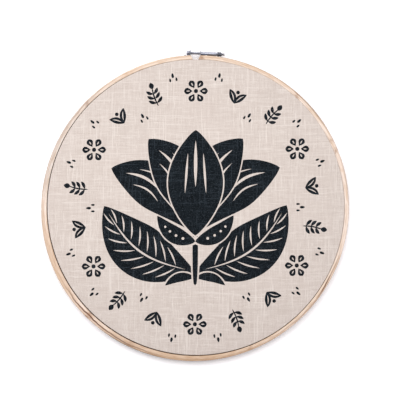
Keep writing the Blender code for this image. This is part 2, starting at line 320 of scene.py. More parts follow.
def bamboo():
    """Pale sanded bamboo strip: fibres along the ring, darker outer skin, nodes and stains, and painted
    shadow at the outer edge's lower left and beside the split.
    """
    wood = Finish("bamboo strip", 0.5)
    place = wood.node("ShaderNodeTexCoord").outputs["Object"]
    from_middle = wood.node(
        "ShaderNodeMapping", {"Vector": place, "Location": tuple(-HOOP_MIDDLE)}
    ).outputs[0]
    x, y, z = wood.node("ShaderNodeSeparateXYZ", {"Vector": from_middle}).outputs
    round_hoop = wood.calc("ARCTAN2", x, wood.calc("MULTIPLY", y, -1.0))
    turn = wood.calc("ADD", wood.calc("DIVIDE", round_hoop, 2 * math.pi), 0.5)
    radius = wood.calc("SQRT", wood.calc("ADD", wood.calc("MULTIPLY", x, x), wood.calc("MULTIPLY", y, y)))
    along = wood.calc("MULTIPLY", round_hoop, HOOP_RADIUS)

    def fibres(length, width, detail):
        stretched = wood.vector(
            wood.calc("DIVIDE", along, length),
            wood.calc("DIVIDE", radius, width),
            wood.calc("DIVIDE", z, width),
        )
        return wood.noise(stretched, 1.0, detail, 0.6)

    broad = fibres(60 * MM, 3.0 * MM, 3)
    streaks = fibres(22 * MM, 0.7 * MM, 4)
    fine = fibres(5 * MM, 0.16 * MM, 3)

    # each table below goes by turn, from 0 at the split round by the left side and the bottom to 1
    cream, pinkish = srgb(229, 214, 204), srgb(210, 199, 192)
    straw, tan, honey = srgb(221, 202, 186), srgb(210, 187, 168), srgb(203, 177, 153)
    tone = wood.ramp(
        wood.calc("ADD", turn, wood.spread(broad, 0.3, 0.7, -0.02, 0.02)),
        [
            (0.00, straw), (0.07, straw), (0.16, pinkish), (0.22, pinkish), (0.25, cream), (0.28, tan),
            (0.34, tan), (0.37, cream), (0.40, straw), (0.42, tan), (0.46, honey), (0.54, honey),
            (0.60, straw), (0.67, straw), (0.72, cream), (0.86, cream), (0.92, straw),
        ],
    )
    mottles = wood.spread(fibres(9 * MM, 1.2 * MM, 2), 0.42, 0.62)
    mottled = wood.mix(mottles, tone, (0.86, 0.79, 0.72), "MULTIPLY")
    streaked = wood.mix(wood.spread(streaks, 0.5, 0.72), mottled, (0.80, 0.71, 0.60), "MULTIPLY")
    fibred = wood.mix(wood.spread(fine, 0.35, 0.75), streaked, (0.94, 0.91, 0.87), "MULTIPLY")

    # the skin side of the strip is darker, more so in some stretches, with a wandering border
    furthest_in, furthest_out = HOOP_RADIUS - 2.9 * MM, HOOP_RADIUS - 1.5 * MM
    border = wood.spread(fibres(16 * MM, 40 * MM, 2), 0.3, 0.7, furthest_in, furthest_out)
    past_border = wood.calc("SUBTRACT", radius, border)
    uneven_streaks = wood.spread(streaks, 0.35, 0.6, 0.55, 1.0)
    grey_skin, straw_skin, honey_skin = srgb(186, 166, 152), srgb(206, 176, 146), srgb(178, 138, 106)
    skin_tone = wood.ramp(
        turn,
        [
            (0.00, straw_skin), (0.08, straw_skin), (0.13, grey_skin), (0.24, grey_skin), (0.33, straw_skin),
            (0.40, honey_skin), (0.68, honey_skin), (0.73, straw_skin), (1.00, straw_skin),
        ],
    )
    skin_share = wood.ramp(
        turn,
        [
            (0.00, 0.55), (0.08, 0.30), (0.16, 0.65), (0.22, 0.45), (0.28, 0.35), (0.33, 0.60), (0.37, 0.35),
            (0.42, 0.40), (0.50, 0.45), (0.58, 0.35), (0.64, 0.35), (0.69, 0.20), (0.72, 0.08), (0.84, 0.15),
            (0.92, 0.45), (1.00, 0.50),
        ],
    )
    skin = wood.calc("MULTIPLY", wood.spread(past_border, -0.15 * MM, 0.35 * MM), uneven_streaks)
    skinned = wood.mix(wood.calc("MULTIPLY", skin, skin_share), fibred, skin_tone)

    # a brown line runs along that border, strongest at the lower left and the lower right
    line_share = wood.ramp(
        turn,
        [
            (0.00, 0.15), (0.08, 0.10), (0.13, 0.35), (0.20, 0.10), (0.33, 0.10), (0.36, 0.90), (0.38, 1.00),
            (0.40, 0.75), (0.42, 0.75), (0.44, 0.50), (0.47, 0.20), (0.58, 0.10), (0.62, 0.35), (0.65, 0.35),
            (0.66, 0.85), (0.67, 0.80), (0.68, 0.40), (0.69, 0.40), (0.71, 0.08), (0.76, 0.05), (1.00, 0.15),
        ],
    )
    line = wood.spread(wood.calc("ABSOLUTE", past_border), 0.45 * MM, 0.85 * MM, 1.0, 0.0)
    skinned = wood.mix(wood.calc("MULTIPLY", line, line_share), skinned, srgb(88, 50, 26))

    # the outer edge is darker grey-brown, most of all at the lower left and the upper right: partly wear, and
    # at the lower left a painted shadow where the ring meets the table
    rim_wear_and_shadow_share = wood.ramp(
        turn,
        [
            (0.00, 0.55), (0.05, 0.30), (0.14, 0.50), (0.28, 0.15), (0.39, 0.15), (0.41, 0.90), (0.46, 1.00),
            (0.48, 0.50), (0.56, 0.45), (0.65, 0.05), (0.74, 0.05), (0.77, 0.50), (0.79, 0.45), (0.81, 0.15),
            (0.83, 0.30), (0.85, 0.85), (0.87, 0.80), (0.90, 0.55), (1.00, 0.55),
        ],
    )
    rim = wood.spread(radius, HOOP_RADIUS - 1.0 * MM, HOOP_RADIUS - 0.5 * MM)
    skinned = wood.mix(wood.calc("MULTIPLY", rim, rim_wear_and_shadow_share), skinned, srgb(146, 122, 100))

    # the nodes of the bamboo, a few stains, and last, beside the split, a painted shadow by the wood's end:
    # how far round the hoop, half the width, depth of tone
    dark_spots = [
        (0.127, 0.0045, 0.75), (0.376, 0.005, 0.75), (0.43, 0.006, 0.45), (0.56, 0.004, 0.4),
        (0.812, 0.0035, 0.8), (0.823, 0.003, 0.6), (0.883, 0.0045, 0.7), (0.994, 0.004, 1.0),
    ]
    uneven = wood.calc("ADD", turn, wood.spread(streaks, 0.3, 0.7, -0.0025, 0.0025))
    spots = 0.0
    for spot, width, depth in dark_spots:
        away = wood.calc("ABSOLUTE", wood.calc("SUBTRACT", uneven, spot))
        spots = wood.calc("MAXIMUM", spots, wood.spread(away, 0.0, width, depth, 0.0))
    spots = wood.calc("MULTIPLY", spots, wood.spread(fibres(4 * MM, 1.4 * MM, 2), 0.35, 0.58, 0.25, 1.0))
    spotted = wood.mix(spots, skinned, srgb(128, 88, 60))
    wood.colour(spotted)
    wood.roughness(wood.spread(streaks, 0.3, 0.7, 0.42, 0.6))
    height = wood.calc("ADD", wood.calc("MULTIPLY", streaks, 0.6), wood.calc("MULTIPLY", fine, 0.4))
    wood.bump(height, 0.12 * MM, 0.7)
    return wood.material


def linen(name, printed, behind=False):
    """Plain-woven linen in threads that differ in tone, with slubs both ways and painted shade between the
    threads; bare or printed.
    """
    cloth = Finish(name, 0.9)
    flat = cloth.node("ShaderNodeUVMap", uv_map="weave").outputs[0]
    wander = cloth.node("ShaderNodeTexNoise", {"Vector": flat, "Scale": 70.0, "Detail": 1.0}).outputs["Color"]
    wander = cloth.node(
        "ShaderNodeVectorMath", {0: wander, 1: (0.5, 0.5, 0.5)}, operation="SUBTRACT"
    ).outputs[0]
    wander = cloth.node("ShaderNodeVectorMath", {0: wander, "Scale": 1.6 * MM}, operation="SCALE").outputs[0]
    place = cloth.node("ShaderNodeVectorMath", {0: flat, 1: wander}, operation="ADD").outputs[0]
    counted = cloth.node(
        "ShaderNodeVectorMath", {0: place, "Scale": 1 / THREAD_PITCH}, operation="SCALE"
    ).outputs[0]
    across, up, _ = cloth.node("ShaderNodeSeparateXYZ", {"Vector": counted}).outputs
    warp = cloth.calc("FLOOR", across)
    weft = cloth.calc("FLOOR", up)
    warp_side = cloth.calc("SUBTRACT", cloth.calc("SUBTRACT", across, warp), 0.5)
    weft_side = cloth.calc("SUBTRACT", cloth.calc("SUBTRACT", up, weft), 0.5)
    warp_round = cloth.calc("COSINE", cloth.calc("MULTIPLY", warp_side, math.pi))
    weft_round = cloth.calc("COSINE", cloth.calc("MULTIPLY", weft_side, math.pi))
    over = cloth.calc("FLOORED_MODULO", cloth.calc("ADD", warp, weft), 2.0)

    def choose(when_weft, when_warp):
        return cloth.node(
            "ShaderNodeMix", {0: over, 2: when_weft, 3: when_warp}, data_type="FLOAT"
        ).outputs[0]

    warp_height = cloth.calc("MULTIPLY", warp_round, cloth.spread(weft_round, 0.0, 1.0, 0.45, 1.0))
    weft_height = cloth.calc("MULTIPLY", weft_round, cloth.spread(warp_round, 0.0, 1.0, 0.45, 1.0))
    height = choose(weft_height, warp_height)

    def thread_tone(number, run, step, stretch, seed):
        """A tone that changes from thread to thread and slowly along each of them."""
        spot = cloth.vector(
            cloth.calc("MULTIPLY", number, step), cloth.calc("MULTIPLY", run, stretch), float(seed)
        )
        return cloth.noise(spot, 1.0, 2.0, 0.55)

    warp_tone = thread_tone(warp, up, 7.137, 0.03, 3)
    weft_tone = thread_tone(weft, across, 7.137, 0.03, 11)
    tone = choose(weft_tone, warp_tone)
    # slubs: thick pale lengths of yarn, some long, some short
    long_slub = cloth.calc(
        "MAXIMUM",
        cloth.spread(thread_tone(warp, up, 3.31, 0.016, 23), 0.60, 0.66),
        cloth.spread(thread_tone(weft, across, 3.31, 0.016, 31), 0.60, 0.66, 0.0, 0.85),
    )
    short_slub = cloth.calc(
        "MAXIMUM",
        cloth.spread(thread_tone(warp, up, 4.73, 0.07, 43), 0.60, 0.68),
        cloth.spread(thread_tone(weft, across, 4.73, 0.07, 57), 0.60, 0.68),
    )
    slub = cloth.calc("MAXIMUM", long_slub, cloth.calc("MULTIPLY", short_slub, 0.7))
    patch = cloth.noise(flat, 16.0, 3.0)
    hair = cloth.noise(flat, 2400.0, 2.0)
    warm, pale, dull = srgb(207, 197, 190), srgb(229, 221, 214), srgb(182, 169, 161)
    thread = cloth.mix(cloth.spread(tone, 0.32, 0.68), dull, warm)
    thread = cloth.mix(cloth.calc("MULTIPLY", slub, 0.45), thread, pale)
    thread = cloth.mix(cloth.spread(patch, 0.35, 0.7, 0.0, 0.25), thread, srgb(199, 185, 178))
    # painted shade: the valleys between the threads are darkened
    painted_valley_shade = cloth.spread(height, 0.0, 0.75, 0.36, 0.0)
    thread = cloth.mix(painted_valley_shade, thread, srgb(160, 146, 137))
    thread = cloth.mix(cloth.spread(hair, 0.3, 0.7, 0.0, 0.12), thread, pale)
    if printed:
        ink = cloth.mix(cloth.spread(tone, 0.35, 0.7), srgb(5, 8, 11), srgb(21, 27, 32))
        ink = cloth.mix(cloth.spread(height, 0.55, 1.0, 0.0, 0.3), ink, srgb(30, 37, 43))
        missed = cloth.spread(cloth.noise(flat, 900.0, 3.0, 0.7), 0.54, 0.68)
        missed = cloth.calc("MULTIPLY", missed, cloth.spread(height, 0.25, 0.9, 0.15, 0.85))
        ink = cloth.mix(missed, ink, srgb(84, 92, 100))
        ink = cloth.mix(cloth.calc("MULTIPLY", slub, 0.3), ink, srgb(62, 70, 78))
        thread = cloth.mix(0.28 if behind else 1.0, thread, ink)
    cloth.colour(thread)
    lift = cloth.calc("ADD", height, cloth.calc("MULTIPLY", slub, 0.5))
    lift = cloth.calc("ADD", lift, cloth.calc("MULTIPLY", hair, 0.25))
    cloth.bump(lift, 0.11 * MM, 0.8)
    # ink is flatter than the fibre
    matt = printed and not behind
    cloth.shader.inputs["Specular IOR Level"].default_value = 0.1 if matt else 0.5
    cloth.shader.inputs["Sheen Weight"].default_value = 0.0 if matt else 0.08
    cloth.shader.inputs["Sheen Roughness"].default_value = 0.5
    return cloth.material


def zinc(name, clean, worn, grimy):
    """Zinc-plated steel, finely brushed, worn in places, with a little grime."""
    metal = Finish(name, 0.3, 1.0)
    place = metal.node("ShaderNodeTexCoord").outputs["Object"]
    brushed_place = metal.node("ShaderNodeMapping", {"Vector": place, "Scale": (5000, 500, 900)}).outputs[0]
    brushed = metal.noise(brushed_place, 1.0, 3.0)
    dull = metal.noise(place, 450.0, 3.0, 0.6)
    plate = metal.mix(metal.spread(dull, 0.35, 0.7), clean, worn)
    grime = metal.spread(metal.noise(place, 900.0, 2.0), 0.6, 0.75, 0.0, 0.5)
    metal.colour(metal.mix(grime, plate, grimy))
    metal.roughness(metal.spread(dull, 0.3, 0.7, 0.24, 0.42))
    metal.bump(brushed, 0.02 * MM, 0.6)
    return metal.material


BAMBOO = bamboo()
ZINC = zinc("zinc plate", srgb(190, 193, 205), srgb(156, 159, 169), srgb(112, 108, 104))
DULLED_ZINC = zinc("dulled zinc plate", srgb(142, 145, 154), srgb(108, 111, 119), srgb(72, 69, 68))
LINEN = linen("bare linen", printed=False)
PRINTED = linen("printed linen", printed=True)
PRINTED_BEHIND = linen("print seen from behind", printed=True, behind=True)


def finished(piece, node, body, material):
    """A finished piece takes the place of its solid."""
    if material:
        piece.data.materials.clear()
        piece.data.materials.append(material)
    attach(piece, body)
    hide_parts(node)
    return piece


# Camera, floor and light


def set_up_studio():
    # straight above, a little off the hoop's middle
    rest()
    bpy.ops.object.camera_add(location=(4.9 * MM, 5.3 * MM, 1.21), rotation=(0, 0, 0))
    camera = bpy.context.active_object
    camera.data.lens = 108
    camera.data.sensor_width = 36
    camera.data.clip_start = 0.01
    bpy.context.scene.camera = camera

    rest()
    bpy.ops.mesh.primitive_plane_add(size=6, location=(0, 0, -0.05 * MM))
    floor = take("table_top")
    paper = Finish("pale table", 0.8)
    grain = paper.noise(paper.node("ShaderNodeTexCoord").outputs["Object"], 40.0, 3.0)
    paper.colour(paper.mix(grain, srgb(250, 249, 252), srgb(253, 252, 254)))
    # lit a little from below, which thins the hoop's shadow
    paper.shader.inputs["Emission Color"].default_value = (1, 1, 1, 1)
    paper.shader.inputs["Emission Strength"].default_value = 0.12
    floor.data.materials.append(paper.material)

    def soft_lamp(place, size, watts):
        rest()
        bpy.ops.object.light_add(type="AREA", location=place)
        lamp = bpy.context.active_object
        lamp.visible_camera = False
        lamp.data.size = size
        lamp.data.energy = watts
        lamp.data.color = (0.98, 0.98, 0.96)
        return lamp

    # one lamp beyond the closure, a little to the left, and one over the hoop that the metal doesn't mirror
    beyond = soft_lamp((-0.15, 0.52, 0.75), 0.5, 1.8)
    beyond.rotation_euler = (-beyond.location).to_track_quat("-Z", "Y").to_euler()
    overhead = soft_lamp((-0.07, 0.045, 0.45), 0.8, 2.12)
    overhead.data.shape = "RECTANGLE"
    overhead.data.size_y = 0.28
    overhead.visible_glossy = False

    # bright beyond the closure, less so overhead, dim towards the viewer's feet
    world = bpy.data.worlds.new("studio")
    world.use_nodes = True
    tree = world.node_tree
    sky = tree.nodes["Background"]
    where = tree.nodes.new("ShaderNodeTexCoord")
    upness = tree.nodes.new("ShaderNodeVectorMath")
    upness.operation = "DOT_PRODUCT"
    upness.inputs[1].default_value = (-0.15, 0.9, 0.41)
    fade = tree.nodes.new("ShaderNodeMapRange")
    fade.interpolation_type = "SMOOTHSTEP"
    fade.inputs["From Min"].default_value = -0.35
    fade.inputs["From Max"].default_value = 0.95
    fade.inputs["To Min"].default_value = 0.3
    fade.inputs["To Max"].default_value = 0.94
    tree.links.new(where.outputs["Generated"], upness.inputs[0])
    tree.links.new(upness.outputs["Value"], fade.inputs["Value"])
    tree.links.new(fade.outputs["Result"], sky.inputs["Strength"])
    sky.inputs["Color"].default_value = (0.975, 0.96, 1.0, 1)
    bpy.context.scene.world = world
    bpy.context.scene.view_settings.view_transform = "Standard"


# Rings


def thicker(angle):
    """How much further in the outer strip reaches at an angle from the hoop's middle."""
    away = abs((angle - THICKER_AT + math.pi) % (2 * math.pi) - math.pi)
    return THICKER_BY * math.cos(math.pi / 2 * min(1.0, away / THICKER_OVER)) ** 2


def follow_thickness(piece, moves):
    """Draws the points that move in where the outer strip is thicker."""
    for vert in piece.data.vertices:
        from_middle = Vector(vert.co[:2]) - HOOP_MIDDLE.xy
        if moves(from_middle.length):
            inwards = from_middle.normalized() * thicker(math.atan2(from_middle.y, from_middle.x))
            vert.co.x -= inwards.x
            vert.co.y -= inwards.y


def draw_out(piece, shift=Vector()):
    """From round to the hoop's slight oval, and to its place."""
    piece.rotation_euler = (0, 0, OVAL_ANGLE)
    piece.scale = (1 + OVAL_SHARE, 1 - OVAL_SHARE, 1)
    piece.location = HOOP_MIDDLE + shift
    settle(piece)


def round_corners(radius, segments):
    """In edit mode, rounds the selected corners of a flat outline."""
    bpy.ops.mesh.bevel(
        offset_type="WIDTH", offset=radius * math.sqrt(2), segments=segments, affect="VERTICES"
    )


def bent_strip(name, outside, wall, depth):
    """The strip's section with rounded corners, less so inside, spun into a ring."""
    rest()
    bpy.ops.mesh.primitive_plane_add(
        size=1, location=(outside - wall / 2, 0, depth / 2), rotation=(math.pi / 2, 0, 0)
    )
    strip = take(name)
    strip.scale = (wall, depth, 1)
    settle(strip)
    work_on(strip)
    pick(strip, "VERT", lambda vert: vert.co.x > outside - wall / 2)
    round_corners(EDGE_ROUND, 5)
    pick(strip, "VERT", lambda vert: vert.co.x < outside - wall / 2)
    round_corners(INSIDE_ROUND, 4)
    bpy.ops.mesh.select_all(action="SELECT")
    bpy.ops.mesh.delete(type="ONLY_FACE")
    bpy.ops.mesh.select_all(action="SELECT")
    bpy.ops.mesh.spin(steps=RING_STEPS, angle=2 * math.pi, center=(0, 0, 0), axis=(0, 0, 1))
    rest()
    point_outwards(strip)
    return strip


def make_split():
    """A wedge, wider at the ring's outside."""
    low, high = WOOD_TOP - OUTER_WALL - 2 * MM, WOOD_TOP + 2 * MM
    flare = (SPLIT_OUTSIDE - SPLIT_INSIDE) / OUTER_WALL
    narrow = SPLIT_INSIDE - flare * 2 * MM
    wide = SPLIT_OUTSIDE + flare * 2 * MM
    middle = CLOSURE + Vector((0, (low + high) / 2, 0))
    wedge = block("split", (2 * narrow, high - low, 2 * HOOP_DEPTH), middle)
    work_on(wedge, "FACE")
    pick(wedge, "FACE", lambda face: face.normal.y > 0.9)
    bpy.ops.transform.resize(value=(wide / narrow, 1, 1), center_override=middle)
    rest()
    return wedge


def make_seat(side):
    """The shallow seat of a bracket's foot, open towards the split."""
    inner_end = EAR_INSIDE - FOOT_MIDDLE - 4 * MM
    outer_end = FOOT_END - FOOT_MIDDLE + 0.15 * MM
    height = 4 * SEAT_DEPTH
    turn = -side * FOOT_SLOPE
    local = Vector((side * (inner_end + outer_end) / 2, height / 2 - SEAT_DEPTH, 0))
    middle = CLOSURE + Vector((side * FOOT_MIDDLE, FOOT_HEIGHT, 0)) + Matrix.Rotation(turn, 3, "Z") @ local
    return block("seat", (outer_end - inner_end, height, BRACKET_WIDTH + 0.3 * MM), middle, turn)


def make_outer_ring():
    ring = bent_strip("outer_strip", HOOP_RADIUS, OUTER_WALL, HOOP_DEPTH)
    draw_out(ring)
    follow_thickness(ring, lambda radius: radius < HOOP_RADIUS - OUTER_WALL / 2)
    carve(ring, make_split())
    for side in SIDES.values():
        carve(ring, make_seat(side))

    # the cut edges are eased with sandpaper
    def at_the_cut(edge):
        where = middle_of(edge) - CLOSURE
        sharp = len(edge.link_faces) == 2 and edge.calc_face_angle(0) > math.radians(40)
        return sharp and abs(where.x) < SPLIT_OUTSIDE + 0.2 * MM and where.y > 0

    work_on(ring, "EDGE")
    pick(ring, "EDGE", at_the_cut)
    bpy.ops.mesh.bevel(offset=0.22 * MM, segments=2, affect="EDGES", clamp_overlap=True)
    smooth(ring, 38)
    return finished(ring, "outer_ring", "hoop", BAMBOO)


def make_inner_ring():
    ring = bent_strip("inner_strip", INNER_RADIUS, INNER_WALL, INNER_DEPTH)
    draw_out(ring, CLOTH_SHIFT)
    follow_thickness(ring, lambda radius: radius > 0)
    smooth(ring, 38)
    return finished(ring, "inner_ring", "hoop", BAMBOO)


# The print: a generic folk motif, a tulip between leaves, and small ones round it. In millimetres.


class Leaf:
    """A leaf or petal from its base to its tip, bowed sideways, that details can be laid on."""

    def __init__(self, base, tip, width, bow=0.0, fullest=0.5, point=1.0):
        self.base, self.tip = Vector(base), Vector(tip)
        self.width, self.bow, self.point = width, bow, point
        self.power = math.log(0.5) / math.log(fullest)
        self.along = self.tip - self.base
        self.side = Vector((-self.along.y, self.along.x)).normalized()

    def middle(self, share):
        return self.base + self.along * share + self.side * self.bow * math.sin(math.pi * share)

    def spot(self, share, across):
        """A point at a share of the length, and across from -1 to 1."""
        step = self.middle(min(share + 0.01, 1.0)) - self.middle(max(share - 0.01, 0.0))
        normal = Vector((-step.y, step.x)).normalized()
        half = self.width / 2 * math.sin(math.pi * min(max(share, 0.0), 1.0) ** self.power) ** self.point
        return self.middle(share) + normal * half * across

    def outline(self, grown=0.0):
        leaf = self
        if grown:
            reach = self.along.normalized() * grown * 1.6
            fullest = 0.5 ** (1 / self.power)
            wider = self.width + 2 * grown
            leaf = Leaf(self.base - reach, self.tip + reach, wider, self.bow, fullest, self.point)
        steps = max(10, int(leaf.along.length / 1.6))
        shares = [step / steps for step in range(steps + 1)]
        there = [leaf.spot(share, 1) for share in shares]
        back = [leaf.spot(share, -1) for share in reversed(shares[1:-1])]
        return there + back

    def slit(self, start, end, width, bow=0.0):
        """A narrow leaf-shaped slit between two spots on this one."""
        return Leaf(self.spot(*start), self.spot(*end), width, bow, 0.5, 0.8).outline()


def disc(middle, radius):
    count = max(10, int(radius * 4))
    angles = [2 * math.pi * step / count for step in range(count)]
    return [Vector(middle) + radius * Vector((math.cos(angle), math.sin(angle))) for angle in angles]


class Print:
    """Shapes of ink and bare cloth, one over the other."""

    def __init__(self):
        self.shapes = []

    def add(self, outline, inked):
        low = (min(p.x for p in outline), min(p.y for p in outline))
        high = (max(p.x for p in outline), max(p.y for p in outline))
        self.shapes.append((outline, low, high, inked))

    def ink(self, *outlines):
        for outline in outlines:
            self.add(outline, True)

    def bare(self, *outlines):
        for outline in outlines:
            self.add(outline, False)

    def inked_at(self, x, y):
        for outline, low, high, inked in reversed(self.shapes):
            if low[0] < x < high[0] and low[1] < y < high[1] and inside(outline, x, y):
                return inked
        return False


def inside(outline, x, y):
    within = False
    before = outline[-1]
    for here in outline:
        if (here.y > y) != (before.y > y):
            if x < (before.x - here.x) * (y - here.y) / (before.y - here.y) + here.x:
                within = not within
        before = here
    return within


def leaf_with_veins(design, base, tip, width, bow, fullest, veins, sign):
    leaf = Leaf(base, tip, width, bow * sign, fullest, 0.85)
    design.bare(leaf.outline(grown=1.3))
    design.ink(leaf.outline())
    design.bare(leaf.slit((0.07, 0), (0.93, 0), 1.9, bow * 0.82 * sign))
    for step in range(veins):
        share = 0.16 + 0.66 * step / (veins - 1)
        for across in (1, -1):
            design.bare(leaf.slit((share, 0.10 * across), (share + 0.13, 0.76 * across), 1.6, 0.9 * across))


def petal_with_slits(design, base, tip, width, bow, fullest, slits, sign):
    petal = Leaf(base, tip, width, bow * sign, fullest, 0.8)
    design.bare(petal.outline(grown=1.3))
    design.ink(petal.outline())
    for start, end, across, thick in slits:
        lean = petal.bow * (end - start)
        design.bare(petal.slit((start, across * sign), (end, across * sign), thick, lean))


def draw_tulip(design):
    for sign in (1, -1):
        leaf_with_veins(design, (sign * 1.0, -64), (sign * 91, 2), 53, -15, 0.5, 8, sign)
    for sign in (1, -1):
        foot = Leaf((sign * 1.0, -70), (sign * 30, -78), 9, 4 * sign, 0.45, 0.8)
        design.bare(foot.outline(grown=1.3))
        design.ink(foot.outline())
    design.bare(Leaf((0, -82), (0, -8), 9, 0, 0.5, 0.3).outline())
    design.ink(Leaf((0, -78), (0, -8), 5.5, 0, 0.5, 0.25).outline())
    slits = [(0.5, 0.86, 0.0, 2.8), (0.44, 0.76, 0.45, 1.8), (0.44, 0.76, -0.45, 1.8)]
    for sign in (1, -1):
        petal_with_slits(design, (sign * 2, -24), (sign * 84, 40), 46, 12, 0.55, slits, sign)
    for sign in (1, -1):
        petal_with_slits(design, (sign * 1, -24), (sign * 47, 69), 46, 10, 0.55, slits, sign)
    tall = [(0.46, 0.9, 0.0, 3.4), (0.4, 0.78, 0.4, 2.2), (0.4, 0.78, -0.4, 2.2)]
    petal_with_slits(design, (0, -28), (0, 78), 55, 0, 0.5, tall, 1)
    # the cup under the petals, with a row of dots
    for sign in (1, -1):
        cup = Leaf((0, -34), (sign * 38, -8), 17, -6 * sign, 0.45, 0.8)
        design.bare(cup.outline(grown=1.3))
    design.bare(disc((0, -32), 3))
    for sign in (1, -1):
        cup = Leaf((0, -34), (sign * 38, -8), 17, -6 * sign, 0.45, 0.8)
        design.ink(cup.outline())
        for share in (0.26, 0.42, 0.58, 0.72):
            design.bare(disc(cup.spot(share, 0), 1.6 - share * 0.6))


def placed(outline, middle, turn):
    """A motif's outline, turned and moved to its place."""
    cos, sin = math.cos(turn), math.sin(turn)
    return [Vector((middle[0] + p.x * cos - p.y * sin, middle[1] + p.x * sin + p.y * cos)) for p in outline]


def draw_blossom(design, middle, turn, size, petals):
    for step in range(petals):
        angle = 2 * math.pi * step / petals
        reach = Vector((math.cos(angle), math.sin(angle)))
        petal = Leaf(reach * size * 0.14, reach * size * 0.5, size * 0.27, 0, 0.62, 0.7)
        design.ink(placed(petal.outline(), middle, turn))
        design.bare(placed(petal.slit((0.3, 0), (0.72, 0), size * 0.045), middle, turn))
    design.bare(placed(disc((0, 0), size * 0.15), middle, turn))
    design.ink(placed(disc((0, 0), size * 0.09), middle, turn))


def draw_sprig(design, middle, turn, length):
    half = length / 2
    stem = Leaf((0, -half), (0, half * 0.6), 1.5, length * 0.04, 0.5, 0.3)
    design.ink(placed(stem.outline(), middle, turn))
    design.ink(placed(Leaf((0, half * 0.45), (0, half), length * 0.2, 0, 0.5, 0.8).outline(), middle, turn))
    for share in (0.18, 0.42, 0.66):
        for sign in (1, -1):
            foot = stem.middle(share)
            tip = foot + Vector((sign * length * (0.3 - share * 0.1), length * 0.2))
            leaf = Leaf(foot, tip, length * 0.13, -sign * length * 0.03, 0.55, 0.8)
            design.ink(placed(leaf.outline(), middle, turn))


def draw_leaf_pair(design, middle, turn, size):
    for sign in (1, -1):
        foot, tip = (0, -size * 0.32), (sign * size * 0.48, size * 0.34)
        leaf = Leaf(foot, tip, size * 0.34, sign * size * 0.05, 0.5, 0.85)
        design.ink(placed(leaf.outline(), middle, turn))
        design.bare(placed(leaf.slit((0.2, 0), (0.8, 0), size * 0.05, leaf.bow * 0.6), middle, turn))
    design.ink(placed(disc((0, size * 0.3), size * 0.1), middle, turn))


def draw_seeds(design, middle, turn, size):
    for x, y, share in ((0, 0.26, 0.26), (-0.32, -0.16, 0.2), (0.32, -0.16, 0.2)):
        low, high = (x * size, (y - share) * size), (x * size, (y + share) * size)
        seed = Leaf(low, high, share * size, 0, 0.42, 0.6)
        design.ink(placed(seed.outline(), middle, turn))


def draw_wreath(design):
    """Small motifs at even steps round the tulip."""
    motifs = [
        lambda middle, turn: draw_blossom(design, middle, turn, 24, 6),
        lambda middle, turn: draw_sprig(design, middle, turn, 25),
        lambda middle, turn: draw_leaf_pair(design, middle, turn, 19),
    ]
    count = 18
    for step in range(count):
        angle = math.radians(90 + 360 * step / count)
        reach = 117 + (4 if step % 3 == 1 else 0)
        middle = (reach * math.cos(angle), reach * math.sin(angle))
        motifs[step % 3](middle, angle - math.pi / 2)
    for step in range(count):
        angle = math.radians(100 + 360 * step / count)
        reach = (132, 104, 132)[step % 3]
        draw_seeds(design, (reach * math.cos(angle), reach * math.sin(angle)), angle - math.pi / 2, 10)


# The cloth


def lay_out_cloth(design):
    """The cloth's face cut along the outlines of the print, as points in millimetres and triangles."""
    rim = (CLOTH_RADIUS - CLOTH_BEND) / MM
    points, edges = [], []

    def add_loop(outline):
        first = len(points)
        points.extend(Vector((p[0], p[1])) for p in outline)
        edges.extend((first + i, first + (i + 1) % len(outline)) for i in range(len(outline)))

    add_loop([
        (rim * math.cos(2 * math.pi * i / RING_STEPS), rim * math.sin(2 * math.pi * i / RING_STEPS))
        for i in range(RING_STEPS)
    ])
    for outline, _low, _high, _inked in design.shapes:
        add_loop(outline)
    spacing = 5.0
    rows = int(rim / spacing / 0.866) + 1
    for row in range(-rows, rows + 1):
        for column in range(-rows, rows + 1):
            x, y = (column + 0.5 * (row % 2)) * spacing, row * spacing * 0.866
            if math.hypot(x, y) < rim - 0.6 * spacing:
                points.append(Vector((x, y)))
    flat, _edges, triangles, origins, _, _ = delaunay_2d_cdt(points, edges, [], 0, 1e-4, True)
    rim_of = {}
    for index, sources in enumerate(origins):
        for source in sources:
            if source < RING_STEPS:
                rim_of[source] = index
    return flat, triangles, [rim_of[i] for i in range(RING_STEPS)]


